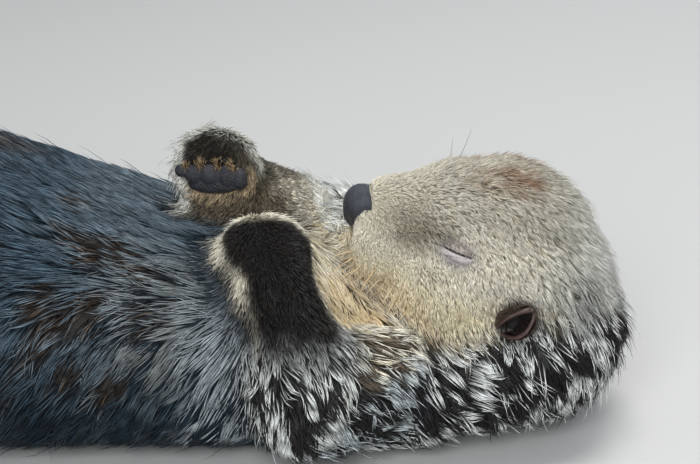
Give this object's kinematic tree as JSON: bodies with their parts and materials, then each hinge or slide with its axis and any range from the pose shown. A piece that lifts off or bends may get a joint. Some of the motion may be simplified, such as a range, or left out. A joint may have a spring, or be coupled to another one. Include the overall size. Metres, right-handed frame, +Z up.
{
  "type": "sea otter",
  "caption": "Sleeping sea otter on its back, chin on chest, forepaws held on the breast, hind flippers raised.",
  "frame": {"origin": "under the middle of the bounding box, at the floor that the back rests on", "axes": "+X towards the head, -X towards the tail, +Z up through the belly; the otter's own left is -Y"},
  "size_m": [1.099, 0.3792, 0.2203],
  "materials": {
    "fur_pale": "cream and pale grey fur, dense and short",
    "fur_grey": "blue-grey wet fur in pointed locks, silver tips over dark brown",
    "fur_dark": "dark brown fur, velvety on the forepaws",
    "flipper_skin": "very short dark brown fur over a web",
    "nose_leather": "blue-grey granular bare skin, damp",
    "pad_leather": "dark grey lobed bare skin",
    "ear_skin": "dark brown rolled ear with a dark pink rim",
    "eyelid_skin": "pale grey closed lids with a dark lash line",
    "claw_horn": "dark horn"
  },
  "bodies": {
    "root": {"belly": "fur_grey", "chest": "fur_grey", "ear_left": "ear_skin", "ear_right": "ear_skin", "eye_left": "eyelid_skin", "eye_right": "eyelid_skin", "forearm_left": "fur_dark", "forearm_right": "fur_dark", "forepaw_left": "fur_dark", "forepaw_right": "fur_dark", "head": "fur_pale", "hind_claw_left_1": "claw_horn", "hind_claw_left_2": "claw_horn", "hind_claw_left_3": "claw_horn", "hind_claw_left_4": "claw_horn", "hind_claw_left_5": "claw_horn", "hind_claw_right_1": "claw_horn", "hind_claw_right_2": "claw_horn", "hind_claw_right_3": "claw_horn", "hind_claw_right_4": "claw_horn", "hind_claw_right_5": "claw_horn", "hind_flipper_left": "flipper_skin", "hind_flipper_right": "flipper_skin", "lower_jaw": "fur_pale", "muzzle": "fur_pale", "neck": "fur_pale", "nose": "nose_leather", "palm_pad_left": "pad_leather", "palm_pad_right": "pad_leather", "rump": "fur_dark", "shin_left": "fur_dark", "shin_right": "fur_dark", "tail": "fur_dark", "thigh_left": "fur_dark", "thigh_right": "fur_dark", "upper_arm_left": "fur_grey", "upper_arm_right": "fur_grey"}
  },
  "joints": []
}
